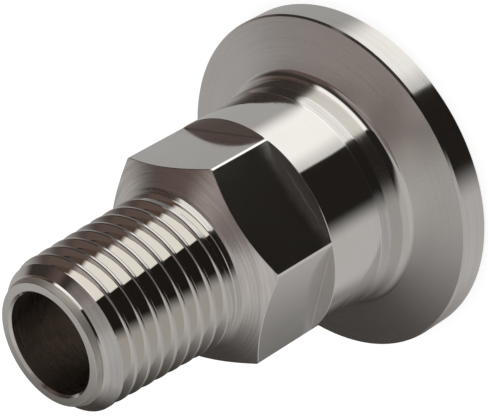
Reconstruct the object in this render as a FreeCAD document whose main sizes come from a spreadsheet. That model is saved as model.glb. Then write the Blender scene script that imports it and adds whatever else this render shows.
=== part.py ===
import FreeCAD, Part
import math
import os
import Sketcher
from FreeCAD import Vector

# Vacuum flange threaded adapter: one turned and milled piece of stainless steel.
# The axis is Z. The sealing face of the flange lies on Z = 0 and the tapered pipe
# thread points up, so the piece stands on its flange.

# Driving dimensions, in millimetres and degrees. Each has a cell of its own.
SIZES = (
    # flange for a clamp ring
    ("flange_diameter", 30.0),
    ("rim_width", 2.65),
    ("flange_back_angle", 15.0),
    ("flange_root_fillet", 0.9),
    ("rim_edge_break", 0.15),
    # centring recess in the sealing face
    ("recess_diameter", 17.2),
    ("recess_depth", 3.0),
    # collar behind the flange, then the neck that the hexagon is milled on
    ("collar_diameter", 20.0),
    ("collar_top_height", 5.95),
    ("ramp_length", 0.85),
    ("neck_diameter", 19.5),
    # hexagon for a spanner
    ("across_flats", 17.0),
    ("hexagon_height", 12.4),
    ("hexagon_length", 6.25),
    ("hexagon_front_angle", 29.0),
    # tapered pipe thread
    ("overall_length", 34.5),
    ("thread_diameter", 12.8),
    ("thread_taper_angle", 1.79),
    ("thread_pitch", 1.411),
    ("thread_crest_flat", 0.26),
    ("thread_root_flat", 0.055),
    ("thread_half_angle", 30.0),
    ("thread_lead_in", 0.9),
    ("full_turns", 9.5),
    ("runout_turns", 0.85),
    # end of the thread: a chamfer down to a face as narrow as the root
    ("end_face_diameter", 10.5),
    ("end_chamfer_angle", 35.0),
    # bore right through
    ("bore_diameter", 8.7),
    ("bore_edge_break", 0.2),
)

# The thread's groove in section, worked out from the sheet: half its width where it
# meets the crests, and its depth from there to the root.
HALF_GROOVE = "((sizes.thread_pitch - sizes.thread_crest_flat) / 2)"
THREAD_DEPTH = "((" + HALF_GROOVE + " - sizes.thread_root_flat / 2) / tan(sizes.thread_half_angle))"

doc = FreeCAD.newDocument("vacuum_flange_threaded_adapter")


def make_sheet():
    """Write every driving dimension into the spreadsheet, one alias to a row."""
    sheet = doc.addObject("Spreadsheet::Sheet", "sizes")
    for row, (alias, value) in enumerate(SIZES, start=1):
        sheet.set(f"A{row}", alias)
        sheet.set(f"B{row}", str(value))
        sheet.setAlias(f"B{row}", alias)
    doc.recompute()
    return sheet


def origin_feature(body, role):
    """Give the body's own plane or axis with this role."""
    return [feature for feature in body.Origin.OriginFeatures if feature.Role == role][0]


def new_sketch(body, name, role, height=None):
    """Attach an empty sketch to one of the body's origin planes, lifted if asked."""
    sketch = body.newObject("Sketcher::SketchObject", name)
    sketch.AttachmentSupport = [(origin_feature(body, role), "")]
    sketch.MapMode = "FlatFace"
    if height is not None:
        sketch.setExpression("AttachmentOffset.Base.z", height)
    return sketch


def bind_length(sketch, constraint, name, expression):
    """Add a length to the sketch and bind it to an expression of the sheet's cells."""
    index = sketch.addConstraint(constraint)
    sketch.renameConstraint(index, name)
    sketch.setExpression("Constraints." + name, expression)
    return index


def closed_outline(sketch, corners):
    """Draw a closed outline whose corners are bound to expressions.

    Each corner is (name, across, up, guess). An across or up of None puts the corner
    on that axis of the sketch. The guess only places the corner before the solve.
    """
    count = len(corners)
    for index in range(count):
        start = corners[index][3]
        finish = corners[(index + 1) % count][3]
        segment = Part.LineSegment(Vector(start[0], start[1], 0), Vector(finish[0], finish[1], 0))
        sketch.addGeometry(segment, False)
    for index in range(count):
        follower = (index + 1) % count
        sketch.addConstraint(Sketcher.Constraint("Coincident", index, 2, follower, 1))
    for index, (name, across, up, guess) in enumerate(corners):
        if across is None:
            sketch.addConstraint(Sketcher.Constraint("PointOnObject", index, 1, -2))
        else:
            constraint = Sketcher.Constraint("DistanceX", -1, 1, index, 1, guess[0])
            bind_length(sketch, constraint, name + "_across", across)
        if up is None:
            sketch.addConstraint(Sketcher.Constraint("PointOnObject", index, 1, -1))
        else:
            constraint = Sketcher.Constraint("DistanceY", -1, 1, index, 1, guess[1])
            bind_length(sketch, constraint, name + "_up", up)


def circle_sketch(body, name, diameter, guess):
    """Draw one circle round the axis on the sealing face, its diameter bound to the sheet."""
    sketch = new_sketch(body, name, "XY_Plane")
    sketch.addGeometry(Part.Circle(Vector(0, 0, 0), Vector(0, 0, 1), guess / 2), False)
    sketch.addConstraint(Sketcher.Constraint("Coincident", 0, 3, -1, 1))
    bind_length(sketch, Sketcher.Constraint("Diameter", 0, guess), "diameter", diameter)
    return sketch


def round_edges(body, radius, height):
    """Name the circular edges round the axis with this radius at this height."""
    names = []
    for index, edge in enumerate(body.Shape.Edges, start=1):
        if not isinstance(edge.Curve, Part.Circle):
            continue
        on_axis = math.hypot(edge.Curve.Center.x, edge.Curve.Center.y) < 1e-6
        right_size = abs(edge.Curve.Radius - radius) < 1e-4
        if on_axis and right_size and abs(edge.Curve.Center.z - height) < 1e-4:
            names.append(f"Edge{index}")
    return names


def dress(body, kind, name, size_property, size, places):
    """Fillet or chamfer the circular edges at the given (radius, height) places."""
    base = body.Tip
    names = []
    for radius, height in places:
        found = round_edges(body, radius, height)
        if not found:
            raise ValueError(f"{name}: no edge of radius {radius:.3f} at height {height:.3f}")
        names += found
    feature = body.newObject(kind, name)
    feature.Base = (base, names)
    feature.setExpression(size_property, size)
    doc.recompute()
    return feature


def turned_blank(body):
    """Turn the whole outside: flange, collar, neck, spanner cone and thread blank."""
    cone_height = "(sizes.hexagon_height + sizes.hexagon_length)"
    cone_rise = "tan(sizes.hexagon_front_angle)"
    taper = "tan(sizes.thread_taper_angle)"
    shoulder_radius = ("(sizes.thread_diameter / 2 + (sizes.overall_length - " + cone_height
                       + " - sizes.neck_diameter / 2 * " + cone_rise + ") * " + taper + ")"
                       + " / (1 - " + cone_rise + " * " + taper + ")")
    outline = (
        ("face_centre", None, None, (0, 0)),
        ("face_rim", "sizes.flange_diameter / 2", None, (15, 0)),
        ("rim_top", "sizes.flange_diameter / 2", "sizes.rim_width", (15, 2.7)),
        ("back_root", "sizes.collar_diameter / 2",
         "sizes.rim_width + (sizes.flange_diameter - sizes.collar_diameter) / 2"
         " * tan(sizes.flange_back_angle)", (10, 4)),
        ("collar_top", "sizes.collar_diameter / 2", "sizes.collar_top_height", (10, 6)),
        ("neck_start", "sizes.neck_diameter / 2",
         "sizes.collar_top_height + sizes.ramp_length", (9.75, 6.7)),
        ("cone_start", "sizes.neck_diameter / 2", cone_height, (9.75, 18.6)),
        ("shoulder", shoulder_radius,
         cone_height + " + (sizes.neck_diameter / 2 - " + shoulder_radius + ") * " + cone_rise,
         (6.9, 20.2)),
        ("blank_end", "sizes.thread_diameter / 2", "sizes.overall_length", (6.4, 34.5)),
        ("end_centre", None, "sizes.overall_length", (0, 34.5)),
    )
    sketch = new_sketch(body, "turned_outline", "XZ_Plane")
    closed_outline(sketch, outline)
    doc.recompute()
    blank = body.newObject("PartDesign::Revolution", "turned_blank")
    blank.Profile = sketch
    blank.ReferenceAxis = (sketch, ["V_Axis"])
    blank.Angle = 360
    doc.recompute()
    return blank


def edge_breaks(body, sheet):
    """Round the flange into the collar and break the two sharp edges of the rim."""
    rim = sheet.flange_diameter / 2
    collar = sheet.collar_diameter / 2
    rise = (rim - collar) * math.tan(math.radians(sheet.flange_back_angle))
    dress(body, "PartDesign::Fillet", "flange_root", "Radius", "sizes.flange_root_fillet",
          [(collar, sheet.rim_width + rise)])
    dress(body, "PartDesign::Chamfer", "rim_edges", "Size", "sizes.rim_edge_break",
          [(rim, 0.0), (rim, sheet.rim_width)])


def round_pocket(body, name, diameter, depth, guess):
    """Cut a round hole upwards from the sealing face."""
    sketch = circle_sketch(body, name + "_circle", diameter, guess)
    doc.recompute()
    pocket = body.newObject("PartDesign::Pocket", name)
    pocket.Profile = sketch
    pocket.Reversed = True
    pocket.setExpression("Length", depth)
    doc.recompute()
    return pocket


def bore_breaks(body, sheet):
    """Break the bore's edge at the threaded end and the recess's edge at the face."""
    dress(body, "PartDesign::Chamfer", "bore_edge", "Size", "sizes.bore_edge_break",
          [(sheet.bore_diameter / 2, sheet.overall_length)])
    dress(body, "PartDesign::Chamfer", "recess_edge", "Size", "sizes.rim_edge_break",
          [(sheet.recess_diameter / 2, 0.0)])


def hexagon_flats(body):
    """Mill one flat beside the axis, then repeat it six times round the axis."""
    sketch = new_sketch(body, "flat_outline", "XY_Plane", "sizes.hexagon_height")
    inner = "sizes.across_flats / 2"
    outer = "sizes.neck_diameter"
    corners = ((8.5, -12.0), (19.5, -12.0), (19.5, 12.0), (8.5, 12.0))
    for index in range(4):
        start = corners[index]
        finish = corners[(index + 1) % 4]
        segment = Part.LineSegment(Vector(start[0], start[1], 0), Vector(finish[0], finish[1], 0))
        sketch.addGeometry(segment, False)
    for index in range(4):
        sketch.addConstraint(Sketcher.Constraint("Coincident", index, 2, (index + 1) % 4, 1))
    for index, kind in enumerate(("Horizontal", "Vertical", "Horizontal")):
        sketch.addConstraint(Sketcher.Constraint(kind, index))
    sketch.addConstraint(Sketcher.Constraint("Symmetric", 0, 1, 2, 2, -1))
    bind_length(sketch, Sketcher.Constraint("DistanceX", -1, 1, 0, 1, 8.5), "inner", inner)
    bind_length(sketch, Sketcher.Constraint("DistanceX", -1, 1, 0, 2, 19.5), "outer", outer)
    bind_length(sketch, Sketcher.Constraint("DistanceY", 1, 1, 1, 2, 24.0), "width", outer)
    doc.recompute()
    flat = body.newObject("PartDesign::Pocket", "spanner_flat")
    flat.Profile = sketch
    flat.Reversed = True
    flat.setExpression("Length", "sizes.hexagon_length + sizes.neck_diameter / 2"
                                 " * tan(sizes.hexagon_front_angle)")
    doc.recompute()
    flats = body.newObject("PartDesign::PolarPattern", "spanner_flats")
    flats.Originals = [flat]
    flats.Axis = (sketch, ["N_Axis"])
    flats.Angle = 360
    flats.Occurrences = 6
    body.Tip = flats
    doc.recompute()
    return flats


def groove_outline(body, name, root_radius, height, turns_before):
    """Draw the thread's groove in section: a 60 degree notch with a narrow flat root.

    The section stands on a plane through the axis, turned back from the XZ plane by
    the turns that the thread has made before it.
    """
    half_root = "sizes.thread_root_flat / 2"
    half_mouth = "(" + HALF_GROOVE + " + sizes.thread_crest_flat / 4)"
    outer = ("(" + root_radius + ") + (" + half_mouth + " - " + half_root + ")"
             + " / tan(sizes.thread_half_angle)")
    sketch = new_sketch(body, name, "XZ_Plane")
    sketch.AttachmentOffset = FreeCAD.Placement(Vector(0, 0, 0), FreeCAD.Rotation(Vector(0, 1, 0), 1))
    sketch.setExpression("AttachmentOffset.Rotation.Angle", "-360 * (" + turns_before + ")")
    closed_outline(sketch, (
        ("root_low", root_radius, "(" + height + ") - " + half_root, (5.5, 35.0)),
        ("mouth_low", outer, "(" + height + ") - " + half_mouth, (6.5, 34.4)),
        ("mouth_high", outer, "(" + height + ") + " + half_mouth, (6.5, 35.7)),
        ("root_high", root_radius, "(" + height + ") + " + half_root, (5.5, 35.1)),
    ))
    doc.recompute()
    return sketch


def helical_cut(body, name, sketch, turns, angle):
    """Sweep the groove down the axis along a right-hand conical helix."""
    cut = body.newObject("PartDesign::SubtractiveHelix", name)
    cut.Profile = sketch
    cut.ReferenceAxis = (sketch, ["V_Axis"])
    cut.Mode = "pitch-turns-angle"
    cut.Reversed = True
    cut.LeftHanded = False
    cut.setExpression("Pitch", "sizes.thread_pitch")
    cut.setExpression("Turns", turns)
    cut.setExpression("Angle", angle)
    doc.recompute()
    return cut


def tapered_thread(body):
    """Cut the full thread from beyond the end face, then let it run out of the metal."""
    start_height = "sizes.overall_length + sizes.thread_lead_in"
    start_root = ("sizes.thread_diameter / 2 - " + THREAD_DEPTH
                  + " - sizes.thread_lead_in * tan(sizes.thread_taper_angle)")
    travel = "sizes.full_turns * sizes.thread_pitch"
    full = groove_outline(body, "groove_section", start_root, start_height, "0")
    helical_cut(body, "thread_groove", full, "sizes.full_turns", "sizes.thread_taper_angle")
    end_root = start_root + " + " + travel + " * tan(sizes.thread_taper_angle)"
    end_height = start_height + " - " + travel
    runout = groove_outline(body, "runout_section", end_root, end_height, "sizes.full_turns")
    rise = ("atan((1.1 * " + THREAD_DEPTH + " / sizes.runout_turns"
            " + sizes.thread_pitch * tan(sizes.thread_taper_angle)) / sizes.thread_pitch)")
    helical_cut(body, "thread_runout", runout, "sizes.runout_turns", rise)


def end_chamfer(body):
    """Turn the chamfer at the threaded end, down to a face as narrow as the root."""
    sketch = new_sketch(body, "chamfer_outline", "XZ_Plane")
    face_radius = "sizes.end_face_diameter / 2"
    past = "sizes.thread_pitch"
    closed_outline(sketch, (
        ("start", face_radius + " - " + past + " * tan(sizes.end_chamfer_angle)",
         "sizes.overall_length + " + past, (4.3, 35.9)),
        ("outside", "sizes.thread_diameter", "sizes.overall_length + " + past, (12.8, 35.9)),
        ("foot", "sizes.thread_diameter",
         "sizes.overall_length - (sizes.thread_diameter - " + face_radius
         + ") / tan(sizes.end_chamfer_angle)", (12.8, 23.7)),
    ))
    doc.recompute()
    chamfer = body.newObject("PartDesign::Groove", "end_chamfer")
    chamfer.Profile = sketch
    chamfer.ReferenceAxis = (sketch, ["V_Axis"])
    chamfer.Angle = 360
    doc.recompute()
    return chamfer


def check_model():
    """Stop if any object of the document failed or any shape is empty or broken."""
    for item in doc.Objects:
        if "Invalid" in item.State or "Error" in item.State:
            raise ValueError(f"{item.Label} did not compute")
        if hasattr(item, "Shape") and item.TypeId.startswith("PartDesign"):
            if item.Shape.isNull() or not item.Shape.isValid():
                raise ValueError(f"{item.Label} has no valid shape")


sheet = make_sheet()
adapter = doc.addObject("PartDesign::Body", "adapter_body")
adapter.Label = "adapter_body"
adapter.Placement = FreeCAD.Placement(Vector(0, 0, 0), FreeCAD.Rotation())
turned_blank(adapter)
edge_breaks(adapter, sheet)
round_pocket(adapter, "through_bore", "sizes.bore_diameter", "sizes.overall_length", 8.7)
round_pocket(adapter, "centring_recess", "sizes.recess_diameter", "sizes.recess_depth", 17.2)
bore_breaks(adapter, sheet)
hexagon_flats(adapter)
tapered_thread(adapter)
end_chamfer(adapter)
doc.recompute()
check_model()

os.makedirs("parts", exist_ok=True)
adapter.Shape.exportStep(os.path.join("parts", adapter.Label + ".step"))
print(f"{adapter.Label}: {len(adapter.Shape.Solids)} solid, {adapter.Shape.Volume:.1f} cubic mm")
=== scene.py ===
# %% [markdown]
# # A turned steel adapter
# One piece of stainless steel: a clamp flange, a neck with a milled hexagon, and a
# tapered pipe thread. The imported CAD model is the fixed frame. The looks are one
# numpy surface that stands for it, a metal finish for each kind of tool mark, and
# a small studio.

# %% Load the frame
import math
import bpy
import bmesh
import numpy as np
from mathutils import Matrix


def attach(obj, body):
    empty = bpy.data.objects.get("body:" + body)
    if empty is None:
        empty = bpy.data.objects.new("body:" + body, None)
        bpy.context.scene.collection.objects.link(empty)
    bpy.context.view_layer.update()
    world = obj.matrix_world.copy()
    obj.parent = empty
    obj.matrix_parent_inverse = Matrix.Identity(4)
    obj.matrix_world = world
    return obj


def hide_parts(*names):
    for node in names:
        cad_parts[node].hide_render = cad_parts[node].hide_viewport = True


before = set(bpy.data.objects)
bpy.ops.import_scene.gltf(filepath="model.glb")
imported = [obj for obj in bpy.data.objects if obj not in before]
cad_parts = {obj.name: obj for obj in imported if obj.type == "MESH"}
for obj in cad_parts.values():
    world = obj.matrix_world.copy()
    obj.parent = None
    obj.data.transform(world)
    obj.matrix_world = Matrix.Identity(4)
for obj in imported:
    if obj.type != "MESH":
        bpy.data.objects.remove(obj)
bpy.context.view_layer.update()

MILLIMETRE = 0.001               # in metres, Blender's unit


# %% [markdown]
# ## The sizes
# All lengths are in millimetres, with the sealing face at height 0 and the bore on
# the Z axis. They are the CAD model's own sizes, and the object is scaled to metres
# only when its points go into the mesh. The narrow breaks come last: real edges are
# never sharp, and each catches a thin light line.

# %% Sizes
RIM_RADIUS = 15.0
RIM_WIDTH = 2.65
RIM_BREAK = 0.15
BACK_ANGLE = math.radians(15.0)
BACK_WIDTH = 3.0                 # the back's even rows start this far inside the rim
ROOT_FILLET = 0.9
COLLAR_RADIUS = 10.0
COLLAR_TOP = 5.95
RAMP_TOP = COLLAR_TOP + 0.85
NECK_RADIUS = 9.75
FLAT_DISTANCE = 8.5
HEX_REAR = 12.4
HEX_FRONT = 18.65
HEX_CONE = math.radians(29.0)
JOINT_HEIGHT = 20.3              # where the hexagon's cone meets the plain ring
LENGTH = 34.5
BORE_RADIUS = 4.35
BORE_BREAK = 0.2
RECESS_RADIUS = 8.6
RECESS_DEPTH = 3.0
END_RADIUS = 5.25
END_FALL = 0.008                 # the end face falls a little towards its outer edge
SHARP = 0.04                     # the break that deburring leaves on a milled edge
CORNER = 0.03                    # the radius that the cutter leaves inside the shoulder
TURNED_BREAK = 0.05              # the break that a file leaves on a turned edge
FACE_BREAK = 0.02                # a narrower one, for the edges that hardly show
print("flange", 2 * RIM_RADIUS, "mm across, overall length", LENGTH, "mm")

# %% Thread sizes
PITCH = 1.411
TAPER = math.tan(math.radians(1.79))
FLANK = math.tan(math.radians(30.0))
CREST_END_RADIUS = 6.4           # of the crests, were they to reach the end face
CREST_FLAT = 0.26
CREST_ROUND = 0.045              # each crest edge is rounded over this height
ROOT_FLAT = 0.055
DEPTH = (PITCH - CREST_FLAT - ROOT_FLAT) / 2 / FLANK
THREAD_START = LENGTH + 0.9      # the groove's height at azimuth 0, above the end face
GROOVES = 13                     # enough to pass both ends of the thread
FULL_TURNS = 9.575
LAST_TURN = 0.765                # of a turn, over which the tool leaves the metal
LEAVING_POWER = 0.6              # the depth fades slowly at first and then fast
TIP_HEIGHT = 33.75
TIP_ANGLE = math.radians(22.0)
TIP_RADIUS = END_RADIUS + (LENGTH - TIP_HEIGHT) * math.tan(TIP_ANGLE)
THREAD_TOP = TIP_HEIGHT          # the ring above the first groove
GROOVE_ENTRY = 33.2              # the groove grows from nothing here, where its sharp
GROOVE_FULL = 32.85              # start was dressed off, to its full depth here
THREAD_FOOT = 20.55              # the ring below the last groove
LEAST_REACH = 0.012              # a shallower groove than this is left out
print("thread depth", round(DEPTH, 3), "tip radius", round(TIP_RADIUS, 3))

# %% [markdown]
# ## Azimuths round the axis
# The hexagon is milled in six equal steps of a dividing head, so each sixth of the
# circle has the same columns. Two of them lie exactly where a milled flat meets the
# turned neck, which keeps that edge crisp, and between them the columns are even.
# The last column repeats the first and is welded to it later.

# %% Columns
FLAT_COLUMNS = 41
SECTOR = math.pi / 3
half_sector = SECTOR / 2
half_flat = math.acos(FLAT_DISTANCE / NECK_RADIUS)
between = (half_flat + half_sector) / 2
sector = np.concatenate(([-half_sector, -between],
                         np.linspace(-half_flat, half_flat, FLAT_COLUMNS), [between]))
azimuth = np.concatenate([sector + number * SECTOR for number in range(6)]
                         + [[6 * SECTOR - half_sector]])
from_flat = np.mod(azimuth + half_sector, SECTOR) - half_sector
from_flat[np.isclose(from_flat, half_sector)] = -half_sector
flat_radius = np.minimum(NECK_RADIUS, FLAT_DISTANCE / np.cos(from_flat))
flat_width = 2 * NECK_RADIUS * math.sin(half_flat)
print(len(azimuth), "columns; a flat is", round(flat_width, 2), "mm wide")

# %% [markdown]
# ## What the groove is cut from
# Before the thread is cut, its end is a plain turned shape: a slender cone, a 45
# degree chamfer and a narrow tip. One function gives that shape's radius for every
# height, and the thread is then whatever is less: this shape or the groove.

# %% Outside envelope of the threaded end
def envelope(height):
    """Radius of the metal before the groove is cut: the lesser of the tapered crest line
    and the 45 degree chamfer, and above the chamfer the narrow tip."""
    crest = CREST_END_RADIUS + (LENGTH - height) * TAPER
    chamfer = TIP_RADIUS + (TIP_HEIGHT - height)
    tip = END_RADIUS + (LENGTH - height) * (TIP_RADIUS - END_RADIUS) / (LENGTH - TIP_HEIGHT)
    return np.where(height > TIP_HEIGHT, tip, np.minimum(crest, chamfer))


chamfer_foot = (TIP_RADIUS + TIP_HEIGHT - CREST_END_RADIUS - LENGTH * TAPER) / (1 - TAPER)
print("the chamfer meets the crests at height", round(chamfer_foot, 2))

# %% [markdown]
# ## The thread as one wound strip
# On the real part one sharp tool cuts one groove that winds up the cone. The
# surface does the same: its rows follow the groove round, so every crest and root
# stays a clean edge with few faces. At azimuth a the groove number n lies at the
# height start - pitch * (n - a / full turn). The groove's depth is eased at both
# ends: its sharp start is dressed off, and the tool leaves the metal over the last
# three quarters of a turn.

# %% Centre and root of the groove
turns = np.arange(GROOVES)[:, None] - azimuth[None, :] / (2 * math.pi)
centre = THREAD_START - PITCH * turns
leaving = np.clip((turns - FULL_TURNS) / LAST_TURN, 0, 1)
entering = np.clip((GROOVE_ENTRY - centre) / (GROOVE_ENTRY - GROOVE_FULL), 0, 1)
depth = DEPTH * np.power(1 - leaving, LEAVING_POWER) * np.sqrt(entering)
root = CREST_END_RADIUS + (LENGTH - centre) * TAPER - depth
print("the groove ends at height", round(THREAD_START - PITCH * (FULL_TURNS + LAST_TURN), 2))

# %% Reach of each flank
def groove_reach(side):
    """Height from the groove's centre to where its flank meets the envelope.

    A flank climbs by 1 / tan(30 degrees) for each millimetre of height from the edge of
    the flat root. It is met by the nearer of the envelope's lines, each of which has
    a radius at the centre and a slope. side is 1 above the centre and -1 below it."""
    lines = ((CREST_END_RADIUS + (LENGTH - centre) * TAPER, TAPER),
             (TIP_RADIUS + TIP_HEIGHT - centre, 1.0))
    reaches = [(radius - root + ROOT_FLAT / 2 / FLANK) / (1 / FLANK + side * slope)
               for radius, slope in lines]
    return np.maximum(np.minimum(reaches[0], reaches[1]), 0.0)


above, below = groove_reach(1), groove_reach(-1)
present = np.minimum(above, below) > LEAST_REACH
above, below = above * present, below * present
print("a full groove is", round(float((above + below).max()), 2), "mm wide")

# %% [markdown]
# ## Rows of the thread
# Each groove gets a few rows: its upper crest edge, five down one flank, the root,
# five up the other flank, its lower crest edge and the middle of the crest. Two rows
# stand close to each crest edge, so the edge shades as a small round. Rows that would
# pass the ring above or below the thread are held on it, and the weld closes what
# collapses there.

# %% Heights of the rows
FLANK_SHARES = (1 - CREST_ROUND / DEPTH, 0.8, 0.5, 0.2, 0.035)
CREST_MARGIN = 0.3               # least share of the crest beside its middle row
ROUND_SHARE = 0.4                # most of a shallow groove's reach that rounding takes


def flank_height(side, reach, share):
    """Height of a row on one flank: the flat root's half width from the centre, and then
    the given share of what is left of the flank's reach."""
    half_root = ROOT_FLAT / 2 * (reach > 0)
    return centre + side * half_root + side * share * (reach - half_root)


round_edge = np.minimum(CREST_ROUND, ROUND_SHARE * np.minimum(above, below))
heights = [centre + above + round_edge]
heights += [flank_height(1, above, share) for share in FLANK_SHARES]
heights += [centre]
heights += [flank_height(-1, below, share) for share in reversed(FLANK_SHARES)]
heights += [centre - below - round_edge]
next_crest = np.roll(heights[0], -1, axis=0)
next_crest[-1] = heights[-1][-1] - 0.1      # no groove follows the last one
margin = CREST_MARGIN * (heights[-1] - next_crest)
heights += [np.clip(chamfer_foot, next_crest + margin, heights[-1] - margin)]
groove_rows = len(heights)
print(groove_rows, "rows for each groove")

# %% Radii of the rows
stack = np.stack(heights, axis=1)
offset = np.abs(stack - centre[:, None, :]) - ROOT_FLAT / 2
cut = root[:, None, :] + np.maximum(offset, 0) / FLANK
held = np.clip(stack, THREAD_FOOT, THREAD_TOP)
wound = np.where(held == stack, np.minimum(envelope(held), cut), envelope(held))
thread_height = held.reshape(-1, len(azimuth))
thread_radius = wound.reshape(-1, len(azimuth))
print("radii from", round(thread_radius.min(), 2), "to", round(thread_radius.max(), 2))

# %% [markdown]
# ## The rest of the outline
# The lathe makes everything else, apart from the flats. The outline goes down from
# the thread to the sealing face, through the recess and up the bore. Each row is a
# radius and a height, and every band between two rows has a finish, named after the
# tool or the place that gave it its look. The first row of a run stands close to the
# edge before it, by a few hundredths or tenths of a millimetre, so that the edge's
# smooth shading stays narrow.

# %% Outline helpers
# The edge finish's lighter colour is a painted glint: the breaks and the strips between the flats
# shine more than their reflection alone makes them.
(TURNED, MILLED, FACED, BORED, CUT, BACK, COARSE,
 SHOULDER, EDGE_GLINT, RINGED, RIM, TIP) = range(12)
outline = []


def row(radius, height, finish):
    """Add a row whose band down from the row before has this finish."""
    outline.append((np.broadcast_to(radius, azimuth.shape),
                    np.broadcast_to(height, azimuth.shape), finish))


def run(start, stop, count, finish):
    """Add evenly spaced rows from start to stop, both (radius, height)."""
    for share in np.linspace(0, 1, count):
        row(start[0] + share * (stop[0] - start[0]),
            start[1] + share * (stop[1] - start[1]), finish)


# %% [markdown]
# ## The hexagon
# The bar is turned first, with a cone in front, and then the flats are milled. The
# cutter meets the cone in curved edges and stops at a square shoulder. A row on the
# hexagon takes its radius from the flat's distance over the cosine of the azimuth, a
# plane in round coordinates, but no more than the neck's radius.

# %% Hexagon rows
def cone_height(radius):
    """Height of the hexagon's turned cone: it rises inwards at 29 degrees."""
    return HEX_FRONT + (NECK_RADIUS - radius) * math.tan(HEX_CONE)


joint_radius = envelope(np.array(JOINT_HEIGHT))
cone_start = joint_radius + 0.03
room = 0.5 * (NECK_RADIUS - flat_radius)
step, corner = np.minimum(SHARP, room), np.minimum(CORNER, room)
row(envelope(np.array(THREAD_FOOT)), THREAD_FOOT, TURNED)
row(joint_radius, cone_height(joint_radius) + FACE_BREAK, TURNED)
run((cone_start, cone_height(cone_start)),
    (flat_radius - SHARP, cone_height(flat_radius - SHARP)), 8, COARSE)
row(flat_radius, cone_height(flat_radius) - SHARP, EDGE_GLINT)
run((flat_radius, cone_height(flat_radius) - 0.3), (flat_radius, HEX_REAR + corner), 7, MILLED)
row(flat_radius + corner, HEX_REAR, SHOULDER)
row(NECK_RADIUS - step, HEX_REAR, SHOULDER)
row(NECK_RADIUS, HEX_REAR - SHARP, EDGE_GLINT)
hexagon_end = len(thread_height) + len(outline) - 1
print("a flat is", round(float(cone_height(FLAT_DISTANCE)) - HEX_REAR, 2), "mm long in its middle")

# %% [markdown]
# ## The neck and the flange
# The neck ends in a short ramp with a narrow break on each side, and then comes the
# collar. A round tool leaves the fillet at its foot: nine points on an arc that
# touches the collar and the cone. A clamp presses on the cone, and the rim is the
# widest part.

# %% Flange rows
cone_root = RIM_WIDTH + (RIM_RADIUS - COLLAR_RADIUS) * math.tan(BACK_ANGLE)
tangent = ROOT_FILLET * math.tan((math.pi / 2 - BACK_ANGLE) / 2)
fillet_radius, fillet_height = COLLAR_RADIUS + ROOT_FILLET, cone_root + tangent
run((NECK_RADIUS, HEX_REAR - 0.4), (NECK_RADIUS, RAMP_TOP + 0.06), 4, TURNED)
row(NECK_RADIUS + 0.012, RAMP_TOP - TURNED_BREAK, EDGE_GLINT)
run((NECK_RADIUS + 0.022, RAMP_TOP - 2 * TURNED_BREAK),
    (COLLAR_RADIUS - 0.012, COLLAR_TOP + TURNED_BREAK), 3, RINGED)
row(COLLAR_RADIUS, COLLAR_TOP - TURNED_BREAK, TURNED)
for angle in np.linspace(math.pi, 1.5 * math.pi - BACK_ANGLE, 9):
    row(fillet_radius + ROOT_FILLET * math.cos(angle),
        fillet_height + ROOT_FILLET * math.sin(angle), TURNED)
run((RIM_RADIUS - BACK_WIDTH, RIM_WIDTH + BACK_WIDTH * math.tan(BACK_ANGLE)),
    (RIM_RADIUS - RIM_BREAK, RIM_WIDTH + RIM_BREAK * math.tan(BACK_ANGLE)), 4, BACK)
row(RIM_RADIUS, RIM_WIDTH - RIM_BREAK, TURNED)
run((RIM_RADIUS, RIM_WIDTH - RIM_BREAK - TURNED_BREAK), (RIM_RADIUS, RIM_BREAK), 3, RIM)
print("the fillet starts at height", round(fillet_height, 2))

# %% [markdown]
# ## The sealing face, the bore and the tip
# The recess takes a centring ring, so it is bored square. The bore runs right
# through. At the far end a quick facing cut leaves fine ridges on the narrow tip, and
# its last line stays smooth: rows that step out and in by a few microns, then one
# plain band.

# %% Recess, bore and end rows
RIDGE = 0.005                    # height of the ridges on the tip
TIP_LINE = 0.16                  # height of the smooth line at the tip's foot

run((RIM_RADIUS - RIM_BREAK, 0.0), (RECESS_RADIUS + RIM_BREAK, 0.0), 6, FACED)
run((RECESS_RADIUS, RIM_BREAK), (RECESS_RADIUS, RECESS_DEPTH), 3, BORED)
run((RECESS_RADIUS - FACE_BREAK, RECESS_DEPTH), (BORE_RADIUS + 0.05, RECESS_DEPTH), 5, FACED)
run((BORE_RADIUS, RECESS_DEPTH + 0.05), (BORE_RADIUS, LENGTH - BORE_BREAK), 12, BORED)
run((BORE_RADIUS + BORE_BREAK, LENGTH), (END_RADIUS - 0.03, LENGTH - END_FALL), 3, FACED)
row(END_RADIUS, LENGTH - END_FALL - FACE_BREAK, FACED)
for number, height in enumerate(np.linspace(LENGTH - 0.09, TIP_HEIGHT + TIP_LINE + 0.03, 6)):
    row(envelope(height) + RIDGE * (-1) ** number, height, TIP)
row(envelope(TIP_HEIGHT + TIP_LINE), TIP_HEIGHT + TIP_LINE, TURNED)
row(TIP_RADIUS, TIP_HEIGHT, TURNED)
print(len(outline), "rows of outline")

# %% [markdown]
# ## One grid of points
# The thread's rows and the outline's rows make one grid of radius and height over
# row and column, and neighbours become four-sided faces. The last column has the
# first one's azimuth, so the two meet exactly.

# %% Points and faces
all_radius = np.vstack([thread_radius] + [radius for radius, _, _ in outline])
all_height = np.vstack([thread_height] + [height for _, height, _ in outline])
meeting = np.append(azimuth[:-1], azimuth[0])
points = np.stack((all_radius * np.cos(meeting), all_radius * np.sin(meeting), all_height), axis=-1)
rows, columns = all_radius.shape


def grid_faces(rows, columns):
    """Four-sided faces of a grid of points: each face joins a point, the one below it,
    the one below to the right and the one to the right, by their numbers row by row."""
    index = np.arange(rows * columns).reshape(rows, columns)
    corners = (index[:-1, :-1], index[1:, :-1], index[1:, 1:], index[:-1, 1:])
    return np.stack(corners, axis=-1).reshape(-1, 4)


print(rows, "rows by", columns, "columns")
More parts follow.
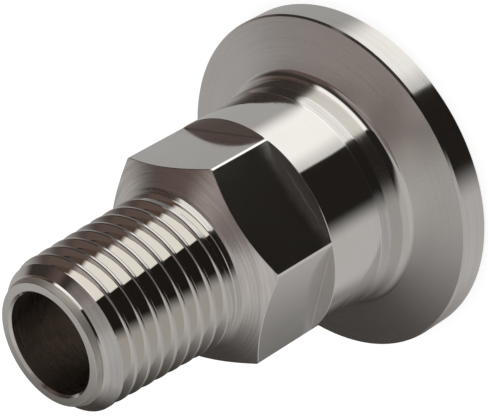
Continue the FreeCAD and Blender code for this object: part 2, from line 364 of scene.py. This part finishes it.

# %% [markdown]
# ## Which face has which finish
# Each band's finish becomes the material number of its faces. The crests are rings
# that the lathe left before the thread was cut, apart from the first ones, which lie
# on the chamfer. Between two flats the hexagon's rows lie on the turned neck, where
# only a narrow bright strip is left, so these faces get the edge's finish, whose lighter colour is
# a painted glint.

# %% Finish of each face
FIRST_RINGED = 3                 # the crest above this groove leaves the chamfer

thread_band = np.full(len(thread_height), CUT)
thread_band[FIRST_RINGED * groove_rows - 1::groove_rows] = RINGED
thread_band[FIRST_RINGED * groove_rows::groove_rows] = RINGED
band = np.concatenate((thread_band, [finish for _, _, finish in outline]))[1:]
face_finish = np.broadcast_to(band[:, None], (rows - 1, columns - 1)).copy()
aside = np.abs(from_flat[:-1] + np.diff(azimuth) / 2)
hexagon = face_finish[:hexagon_end]
hexagon[((hexagon == MILLED) | (hexagon == SHOULDER)) & (aside > half_flat)] = EDGE_GLINT
print("faces of each finish", np.bincount(face_finish.ravel()))

# %% [markdown]
# ## One closed mesh
# A weld joins the seam, the turn-to-turn steps of the strip and the two rings. What it
# leaves has no open edge, which is counted here. Edges over 22 degrees stay sharp,
# and all others shade smoothly.

# %% Weld and shade
WELD = 8e-7                      # metres: well under the narrowest band
SLIVER = 1e-7                    # metres: edges shorter than this are taken out
SHARP_ANGLE = math.radians(22)

mesh = bpy.data.meshes.new("adapter_steel")
placed = points.reshape(-1, 3) * MILLIMETRE
mesh.from_pydata(placed.tolist(), [], grid_faces(rows, columns).tolist())
mesh.polygons.foreach_set("material_index", face_finish.ravel().astype(np.int32))
work = bmesh.new()
work.from_mesh(mesh)
bmesh.ops.remove_doubles(work, verts=work.verts, dist=WELD)
bmesh.ops.dissolve_degenerate(work, edges=work.edges, dist=SLIVER)
print("open edges", sum(1 for edge in work.edges if len(edge.link_faces) != 2))
print("volume in cubic millimetres", round(work.calc_volume() / MILLIMETRE ** 3, 1))
work.to_mesh(mesh)
work.free()
mesh.shade_smooth()
mesh.set_sharp_from_angle(angle=SHARP_ANGLE)
adapter = bpy.data.objects.new("adapter_steel", mesh)
bpy.context.scene.collection.objects.link(adapter)
print(sum(len(face.vertices) - 2 for face in mesh.polygons), "triangles")

# %% [markdown]
# ## Writing shaders as sums
# A shader is a tree of nodes, and most of its nodes are plain arithmetic. The
# class below wraps a node's output, so that + - * / on it add Math nodes, and one
# method makes every other node from its type, its settings and its inputs.

# %% Node helper
class Channel:
    """An output socket that takes part in arithmetic: each sign adds a Math node."""

    def __init__(self, tree, socket):
        self.tree = tree
        self.socket = socket

    def make(self, kind, settings=None, inputs=None, output=0):
        """Add a node of this type: its settings go first, then its inputs by name or number."""
        node = self.tree.nodes.new(kind)
        for name, value in (settings or {}).items():
            setattr(node, name, value)
        for key, value in (inputs or {}).items():
            if isinstance(value, Channel):
                self.tree.links.new(value.socket, node.inputs[key])
            else:
                node.inputs[key].default_value = value
        return Channel(self.tree, node.outputs[output] if len(node.outputs) else None)

    def maths(self, operation, *values):
        """Add one Math node with this operation on the given values."""
        return self.make("ShaderNodeMath", {"operation": operation}, dict(enumerate(values)))

    def __add__(self, other):
        return self.maths("ADD", self, other)

    def __radd__(self, other):
        return self.maths("ADD", other, self)

    def __sub__(self, other):
        return self.maths("SUBTRACT", self, other)

    def __rsub__(self, other):
        return self.maths("SUBTRACT", other, self)

    def __mul__(self, other):
        return self.maths("MULTIPLY", self, other)

    def __rmul__(self, other):
        return self.maths("MULTIPLY", other, self)

    def __truediv__(self, other):
        return self.maths("DIVIDE", self, other)

    def __rtruediv__(self, other):
        return self.maths("DIVIDE", other, self)


def empty_tree(owner):
    """Turn on the nodes of a material or world, clear them, and start from there."""
    owner.use_nodes = True
    owner.node_tree.nodes.clear()
    return Channel(owner.node_tree, None)


# %% [markdown]
# ## Marks of the lathe and the cutter
# A lathe leaves rings: noise that changes fast with radius and height and slowly
# round the axis. The azimuth itself jumps at the seam, so the noise takes its cosine
# and sine instead, as a third and a fourth coordinate. A milling cutter leaves
# straight marks, which are plain noise drawn out along one axis.

# %% Noise in round and straight coordinates
def round_space(start):
    """Place, radius, height and the azimuth's cosine and sine, in object coordinates."""
    where = start.make("ShaderNodeTexCoord", output="Object")
    x, y, height = (start.make("ShaderNodeSeparateXYZ", inputs={0: where}, output=axis)
                    for axis in range(3))
    radius = start.maths("SQRT", x * x + y * y)
    safe = start.maths("MAXIMUM", radius, 0.001)
    return where, radius, height, x / safe, y / safe


def ring_noise(start, radius, height, cosine, sine, across, around):
    """Noise drawn out round the axis: fine in radius and height, slow round the circle."""
    place = start.make("ShaderNodeCombineXYZ",
                       inputs={0: radius * across, 1: height * across, 2: cosine * around})
    return start.make("ShaderNodeTexNoise", {"noise_dimensions": "4D"},
                      {"Vector": place, "W": sine * around, "Scale": 1.0,
                       "Detail": 2.0, "Roughness": 0.55})


def even_noise(start, place, scale, detail):
    """Noise that is the same in all directions of the place that it reads."""
    return start.make("ShaderNodeTexNoise",
                      inputs={"Vector": place, "Scale": scale, "Detail": detail})


# %% [markdown]
# ## The steel
# All finishes are the same bare steel. They differ in the marks that the last tool
# left. The marks go into bump and roughness, and a faint patchiness into the colour.
# The flats are buffed a little round, which the shading alone shows, and they are
# duller near the shoulder, where the wheel doesn't reach.

# %% Steel
PATCHES = 260.0                  # to a metre: slow stains from handling
GRAIN = 5200.0                   # to a metre: the pores that every finish keeps


def buffed_fall(start, radius, cosine, sine):
    """Square of the distance from the middle line of the nearest flat: the sine of the
    azimuth, folded to that flat, times the radius."""
    turn = start.maths("ARCTAN2", sine, cosine)
    folded = start.maths("FLOORED_MODULO", turn + half_sector, SECTOR) - half_sector
    aside = radius * start.maths("SINE", folded)
    return aside * aside


def steel(name, colour, shade, gloss, spread, mark, depth,
          along=None, lines=0.3, crown=0.0, worn=None):
    """Bare steel: two close colours mixed by slow noise, roughness and bump from marks.

    gloss and spread are the middle and the width of the roughness, mark the number of
    marks to a metre, and depth their height in metres. along is a scale for each axis,
    small for the one that straight marks run along; without it the marks are rings.
    lines is how far the fine marks show in the colour. crown is the fall of a flat's
    shading per square metre from its middle line, for a flat that buffing has rounded.
    worn is two heights and the roughness that fades away from the first to the second."""
    material = bpy.data.materials.new(name)
    start = empty_tree(material)
    where, radius, height, cosine, sine = round_space(start)
    if along is None:
        fine = ring_noise(start, radius, height, cosine, sine, mark, 1.5)
        broad = ring_noise(start, radius, height, cosine, sine, mark * 0.22, 0.7)
    else:
        drawn = start.make("ShaderNodeVectorMath", {"operation": "MULTIPLY"},
                           {0: where, 1: along})
        fine = even_noise(start, drawn, mark, 3.0)
        broad = even_noise(start, drawn, mark * 0.2, 2.0)
    patch = even_noise(start, where, PATCHES, 3.0)
    grain = even_noise(start, where, GRAIN, 2.0)
    tone = patch * 0.6 + broad * 0.4 + (fine - 0.5) * lines
    base = start.make("ShaderNodeMix", {"data_type": "RGBA"},
                      {0: tone, 6: (*colour, 1.0), 7: (*shade, 1.0)}, output=2)
    rough = gloss + spread * (fine - 0.5) + spread * 0.7 * (patch - 0.5)
    if worn:
        rough = rough + start.make("ShaderNodeMapRange", {"interpolation_type": "SMOOTHSTEP"},
                                   {"Value": height, "From Min": worn[0], "From Max": worn[1],
                                    "To Min": worn[2], "To Max": 0.0})
    relief = fine * 0.65 + broad * 0.25 + grain * 0.1
    if crown:
        relief = relief - buffed_fall(start, radius, cosine, sine) * (crown / depth)
    bump = start.make("ShaderNodeBump",
                      inputs={"Strength": 1.0, "Distance": depth, "Height": relief})
    shader = start.make("ShaderNodeBsdfPrincipled",
                        inputs={"Base Color": base, "Metallic": 1.0,
                                "Roughness": rough, "Normal": bump})
    start.make("ShaderNodeOutputMaterial", inputs={"Surface": shader})
    return material


# %% [markdown]
# ## Twelve finishes
# Smooth turned bands and cut flanks mirror the studio almost sharply. The flange's
# back, the shoulder and the tip are duller, and the bore is dull and dark. The
# hexagon's cone has coarse arcs, and the crests, the ramp and the rim fine rings.
# The dictionary is in the order of the finish numbers.

# %% Finishes
MICRON = 1e-6
finishes = {
    TURNED: steel("lathe_steel", (0.86, 0.84, 0.81), (0.79, 0.77, 0.74),
                  0.055, 0.04, 9000, 1.6 * MICRON),
    MILLED: steel("milled_steel", (0.84, 0.82, 0.79), (0.77, 0.75, 0.72),
                  0.13, 0.10, 2600, 1.5 * MICRON,
                  along=(1.0, 1.0, 0.12), crown=5.0, worn=(0.0126, 0.0140, 0.12)),
    FACED: steel("faced_steel", (0.86, 0.835, 0.795), (0.80, 0.775, 0.735),
                 0.13, 0.08, 6000, 3.0 * MICRON),
    BORED: steel("bored_steel", (0.74, 0.69, 0.64), (0.60, 0.555, 0.51),
                 0.28, 0.14, 5200, 8.0 * MICRON),
    CUT: steel("threaded_steel", (0.85, 0.825, 0.785), (0.79, 0.765, 0.725),
               0.01, 0.01, 8000, 0.8 * MICRON),
    BACK: steel("flange_back_steel", (0.83, 0.81, 0.785), (0.75, 0.73, 0.70),
                0.26, 0.08, 5000, 6.0 * MICRON, lines=1.0),
    COARSE: steel("coarse_lathe_steel", (0.95, 0.92, 0.88), (0.64, 0.61, 0.58),
                  0.22, 0.14, 4800, 26.0 * MICRON, lines=1.4),
    SHOULDER: steel("shoulder_steel", (0.78, 0.755, 0.73), (0.66, 0.64, 0.62),
                    0.24, 0.10, 5000, 3.0 * MICRON, lines=1.0),
    # painted glint: a lighter steel than the rest, so that the edge breaks and the strips between
    # the flats shine brighter than their own reflection makes them
    EDGE_GLINT: steel("edge_steel_painted_glint", (0.96, 0.94, 0.90), (0.90, 0.88, 0.84),
                0.12, 0.06, 8000, 1.0 * MICRON),
    RINGED: steel("ringed_steel", (0.80, 0.785, 0.765), (0.62, 0.605, 0.585),
                  0.10, 0.06, 4200, 3.0 * MICRON, lines=2.0),
    RIM: steel("rim_steel", (0.82, 0.80, 0.775), (0.70, 0.68, 0.655),
               0.10, 0.06, 4200, 2.0 * MICRON, lines=1.5),
    TIP: steel("tip_steel", (0.77, 0.73, 0.68), (0.53, 0.49, 0.445),
               0.55, 0.16, 5000, 10.0 * MICRON, lines=2.4),
}
for number in sorted(finishes):
    mesh.materials.append(finishes[number])
print([material.name for material in mesh.materials])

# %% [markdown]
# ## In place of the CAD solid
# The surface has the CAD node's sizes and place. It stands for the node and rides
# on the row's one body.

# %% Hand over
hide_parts("adapter_body")
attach(adapter, "root")
print(adapter.name, "stands for adapter_body")

# %% [markdown]
# ## A studio for bright metal
# Polished steel shows its surroundings, so it is lit by what it mirrors. A maker's
# photographer hangs cloth and card round such a part until each band looks right,
# and this tent does the same: a ball of 2 metres whose tone depends on the direction
# seen from the object. turn is the azimuth from the camera's own in degrees, positive
# towards the upper left of the picture, and lift is the elevation.

# %% Directions of the tent
VIEW_AZIMUTH = math.radians(-63.07)
spokes = np.linspace(0, 2 * math.pi, 541)
hoops = np.radians(np.linspace(-90, 90, 271))
sight_x = np.cos(hoops)[:, None] * np.cos(spokes)
sight_y = np.cos(hoops)[:, None] * np.sin(spokes)
sight_z = np.sin(hoops)[:, None] * np.ones(spokes.shape)
turn = np.degrees(np.arctan2(sight_y, sight_x))
lift = np.degrees(np.arcsin(np.clip(sight_z, -1, 1)))
past_back = np.where(turn > 90, turn - 360, turn)    # runs on past the back, to -270
print(turn.size, "directions")

# %% [markdown]
# ## Walls and the dim side
# Each cloth is a soft window in turn and lift, laid over the ones before it. The pale
# wall stands on the side of negative turns and lights the lower right of the part. A
# dark gap behind it gives the steel its depth, and a dim sheet low in front of it
# darkens the lower flat.

# %% Walls
def ease(value, start, stop):
    """Smooth step from 0 at start to 1 at stop: 3 t squared less 2 t cubed."""
    share = np.clip((value - start) / (stop - start), 0, 1)
    return share * share * (3 - 2 * share)


def window(value, rise_start, rise_stop, fall_start, fall_stop):
    """1 between the two slopes and 0 outside them."""
    return ease(value, rise_start, rise_stop) * (1 - ease(value, fall_start, fall_stop))


def lay(under, mask, colour):
    """The tone with this colour laid over it where the mask is 1."""
    return under * (1 - mask[..., None]) + np.array(colour) * mask[..., None]


tone = np.ones(turn.shape + (3,)) * np.array((0.235, 0.198, 0.190))
back_wall = window(past_back, -236, -206, -175, -165) * (1 - ease(lift, 40, 62))
pale_wall = ease(-sight_y, -0.02, 0.22)
low_ground = ease(-lift, 28, 38)
tone = lay(tone, back_wall, (0.42, 0.41, 0.405))
tone = lay(tone, pale_wall, (0.45, 0.44, 0.435))
tone = lay(tone, pale_wall * ease(lift, 34, 50), (0.50, 0.485, 0.475))
tone = lay(tone, low_ground, (0.50, 0.49, 0.485))
tone = lay(tone, low_ground * ease(turn, 70, 90), (0.405, 0.40, 0.395))
gap_start = -176.5 - np.clip(33 - lift, -3, 6)
dark_gap = window(past_back, gap_start - 5, gap_start, -151, -100)
dark_gap = dark_gap * (1 - ease(lift, 30, 74)) * ease(lift, -42, -38)
tone = lay(tone, dark_gap, (0.055, 0.049, 0.045))
dim_sheet = window(lift, -38.5, -37.5, -34.5, -31) * window(turn, -131, -123, -121, -103)
tone = tone * (1 - 0.43 * dim_sheet[..., None])
print("mean tone of the walls", tone.mean(axis=(0, 1)).round(3))

# %% [markdown]
# ## The dim corner
# On the side of positive turns the room is dark brown, beyond the bright panel. Its
# reflection darkens the upper left of each cylinder. A little more light falls on it
# at two heights: about level with the part, and well above it.

# %% Corner
corner_top = 42 + np.clip(turn - 84, 0, 40) * 0.45
below_sill = ease(-lift, -18, 2)
brown = window(turn, 68, 86, 128 - 20 * below_sill, 152 - 16 * below_sill)
brown = brown * ease(lift, -38, -27)
under_top = 1 - ease(lift, corner_top, corner_top + 16)
tone = lay(tone, brown * under_top, (0.042, 0.035, 0.031))
tone = lay(tone, brown * window(lift, -15, -9, 1, 4), (0.105, 0.072, 0.060))
tone = lay(tone, brown * ease(lift, 26, 40) * under_top, (0.115, 0.082, 0.072))
print("the corner takes", round(float(brown.mean()) * 100, 1), "% of the grid")

# %% [markdown]
# ## Panels above, the bright panel and the slot
# Grey panels hang above, and each shows on one band of the part. The bright panel
# gives every cylinder its white stripe, with a dark frame over it. The slot beside
# it, round the lens, gives the black stripe and the black flat, and the two share
# one sharp edge.

# %% Panels
PANEL_EDGE = (19.6, 21.4)        # turns between which the slot ends and the panel starts

tone = lay(tone, window(lift, 56, 62, 76, 82) * window(turn, 66, 82, 104, 120),
           (0.37, 0.325, 0.31))
tone = lay(tone, window(lift, 44, 52, 66, 74) * window(turn, 130, 142, 158, 172),
           (0.34, 0.305, 0.29))
tone = lay(tone, ease(lift, 76, 84), (0.165, 0.142, 0.137))
tone = lay(tone, window(lift, 14, 22, 44, 50) * window(turn, 18, 22, 78, 90),
           (0.045, 0.037, 0.033))
low = ease(-lift, 32, 40)
panel = window(turn, *PANEL_EDGE, 74 - 5 * low, 83 + 10 * low)
tone = lay(tone, panel * (1 - ease(lift, 10, 24)), (1.06, 1.05, 1.025))
dimmed = 0.38 * panel * (1 - ease(turn, 20, 40)) * ease(-lift, 20, 36)
tone = tone * (1 - dimmed[..., None])
tone = lay(tone, window(lift, 52, 58, 61, 66) * window(turn, -60, -30, 30, 60),
           (0.42, 0.40, 0.385))
slot_left = -38 + 0.22 * lift
slot = window(turn, slot_left - 10, slot_left + 14, *PANEL_EDGE) * (1 - ease(lift, 50, 58))
tone = lay(tone, slot, (0.016, 0.014, 0.012))
print("tones from", tone.min().round(3), "to", tone.max().round(3))

# %% [markdown]
# ## The tent itself
# The ball's points carry the tones as an attribute, and its cloth glows with them.
# Only mirror rays see it, so it lights the steel and leaves the floor and the
# background alone. Light isn't sampled from it either: a mirror finds it unaided.

# %% Tent
view_cosine, view_sine = math.cos(VIEW_AZIMUTH), math.sin(VIEW_AZIMUTH)
tent_points = np.stack((sight_x * view_cosine - sight_y * view_sine,
                        sight_x * view_sine + sight_y * view_cosine, sight_z), axis=-1)
tent_mesh = bpy.data.meshes.new("light_tent")
tent_mesh.from_pydata(tent_points.reshape(-1, 3).tolist(), [], grid_faces(*turn.shape).tolist())
opaque = np.concatenate((tone, np.ones(turn.shape + (1,))), axis=-1)
tones = tent_mesh.attributes.new("tone", "FLOAT_COLOR", "POINT")
tones.data.foreach_set("color", opaque.astype(np.float32).ravel())
tent = bpy.data.objects.new("light_tent", tent_mesh)
bpy.context.scene.collection.objects.link(tent)
tent.visible_camera = False
tent.visible_diffuse = False
tent.visible_shadow = False
tent.visible_transmission = False
tent_material = bpy.data.materials.new("tent_cloth")
cloth = empty_tree(tent_material)
painted = cloth.make("ShaderNodeAttribute", {"attribute_name": "tone"}, output="Color")
glow = cloth.make("ShaderNodeEmission", inputs={"Color": painted, "Strength": 1.0})
cloth.make("ShaderNodeOutputMaterial", inputs={"Surface": glow})
tent_material.cycles.emission_sampling = "NONE"
tent_mesh.materials.append(tent_material)
print("tent of", len(tent_mesh.polygons), "faces")

# %% [markdown]
# ## The floor and the sky
# The picture's ground is white paper. The floor is matt, which keeps the part's soft
# shadow, and glows by a little more than its own shade lacks of white, for the rays
# that look at it. The sky is plain white and lights the floor.

# %% Floor and world
FLOOR_HALF = 2.0                 # metres
FLOOR_SHADE = 0.4
FLOOR_GLOW = 0.7
WHITE = (1.0, 1.0, 1.0, 1.0)

floor_mesh = bpy.data.meshes.new("studio_floor")
floor_corners = [(-FLOOR_HALF, -FLOOR_HALF, 0), (FLOOR_HALF, -FLOOR_HALF, 0),
                 (FLOOR_HALF, FLOOR_HALF, 0), (-FLOOR_HALF, FLOOR_HALF, 0)]
floor_mesh.from_pydata(floor_corners, [], [(0, 1, 2, 3)])
floor = bpy.data.objects.new("studio_floor", floor_mesh)
bpy.context.scene.collection.objects.link(floor)
floor_material = bpy.data.materials.new("white_floor")
ground = empty_tree(floor_material)
seen = ground.make("ShaderNodeLightPath", output="Is Camera Ray")
seen = seen + ground.make("ShaderNodeLightPath", output="Is Glossy Ray")
seen = seen + ground.make("ShaderNodeLightPath", output="Is Transmission Ray")
matt = ground.make("ShaderNodeBsdfDiffuse",
                   inputs={"Color": (FLOOR_SHADE, FLOOR_SHADE, FLOOR_SHADE, 1.0)})
shine = ground.make("ShaderNodeEmission", inputs={"Color": WHITE, "Strength": seen * FLOOR_GLOW})
both = ground.make("ShaderNodeAddShader", inputs={0: matt, 1: shine})
ground.make("ShaderNodeOutputMaterial", inputs={"Surface": both})
floor_mesh.materials.append(floor_material)
floor.visible_glossy = False

world = bpy.data.worlds.new("studio_world")
bpy.context.scene.world = world
sky = empty_tree(world)
backdrop = sky.make("ShaderNodeBackground", inputs={"Color": WHITE, "Strength": 1.0})
sky.make("ShaderNodeOutputWorld", inputs={"Surface": backdrop})
world.cycles.sampling_method = "NONE"
print("floor of", 2 * FLOOR_HALF, "metres")

# %% [markdown]
# ## Camera
# A long lens from well above the flange, rolled so that the threaded end points to
# the lower left, as in the photograph. Its place, its aim and its roll were fitted to
# the round edges of the part and the corners of the hexagon.

# %% Camera
CAMERA_PLACE = np.array((79.147, -155.803, 146.749)) * MILLIMETRE
CAMERA_AIM = np.array((2.6087, -1.6971, 13.5378)) * MILLIMETRE
CAMERA_ROLL = math.radians(120.086)
away = (CAMERA_PLACE - CAMERA_AIM) / np.linalg.norm(CAMERA_PLACE - CAMERA_AIM)
level = np.cross((0.0, 0.0, 1.0), away)
level = level / np.linalg.norm(level)
upright = np.cross(away, level)
pose = np.eye(4)
pose[:3, 0] = level * math.cos(CAMERA_ROLL) - upright * math.sin(CAMERA_ROLL)
pose[:3, 1] = level * math.sin(CAMERA_ROLL) + upright * math.cos(CAMERA_ROLL)
pose[:3, 2] = away
pose[:3, 3] = CAMERA_PLACE
camera_data = bpy.data.cameras.new("camera")
camera_data.sensor_width = 36.0
camera_data.lens = 199.46                   # millimetres, fitted with the rest
camera_data.clip_start = 0.01
camera_data.clip_end = 10.0
camera = bpy.data.objects.new("camera", camera_data)
bpy.context.scene.collection.objects.link(camera)
camera.matrix_world = Matrix(pose.tolist())
bpy.context.scene.camera = camera
bpy.context.scene.view_settings.view_transform = "Standard"
print("elevation of the camera", round(math.degrees(math.asin(away[2])), 2), "degrees")
